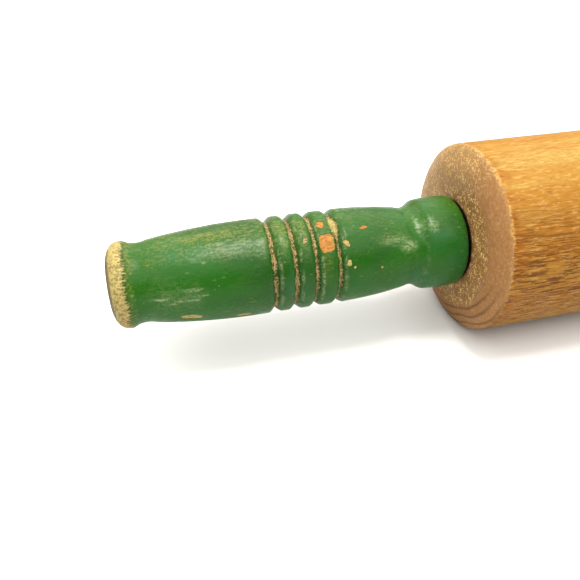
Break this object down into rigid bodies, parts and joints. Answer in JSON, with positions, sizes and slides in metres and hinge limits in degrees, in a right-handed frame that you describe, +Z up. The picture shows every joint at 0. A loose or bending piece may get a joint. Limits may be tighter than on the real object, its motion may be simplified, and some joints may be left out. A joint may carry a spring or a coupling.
{
  "type": "rolling pin",
  "caption": "Wooden rolling pin: plain cylindrical barrel that spins on a steel rod between two painted, grooved wooden handles.",
  "frame": {"origin": "middle of the barrel, on the axis of the rod", "axes": "+X along the rod, toward the right-hand handle; +Z up from the surface that the barrel lies on; the two ends mirror each other in X"},
  "size_m": [0.4572, 0.057, 0.057],
  "materials": {
    "barrel_wood": "oiled beech, golden orange with short dark flecks",
    "painted_wood": "semi-gloss green paint on turned wood, worn at the edges",
    "plug_wood": "bare wood, worn",
    "rod_steel": "drawn steel",
    "plated_steel": "dull zinc-plated steel",
    "bush_metal": "pressed brass"
  },
  "bodies": {
    "barrel": {"barrel": "barrel_wood", "left_barrel_bush": "bush_metal", "right_barrel_bush": "bush_metal"},
    "axle": {"axle_rod": "rod_steel", "left_thrust_washer": "plated_steel", "right_thrust_washer": "plated_steel", "left_end_washer": "plated_steel", "right_end_washer": "plated_steel", "left_end_nut": "plated_steel", "right_end_nut": "plated_steel"},
    "left_handle": {"left_handle": "painted_wood", "left_end_plug": "plug_wood"},
    "right_handle": {"right_handle": "painted_wood", "right_end_plug": "plug_wood"}
  },
  "joints": [
    {"name": "barrel_spin", "type": "hinge", "parent": "barrel", "child": "axle", "pos_m": [0, 0, 0], "axis": [1, 0, 0], "continuous": true},
    {"name": "left_handle_spin", "type": "hinge", "parent": "axle", "child": "left_handle", "pos_m": [-0.12815, 0, 0], "axis": [1, 0, 0], "continuous": true},
    {"name": "right_handle_spin", "type": "hinge", "parent": "axle", "child": "right_handle", "pos_m": [0.12815, 0, 0], "axis": [1, 0, 0], "continuous": true}
  ]
}
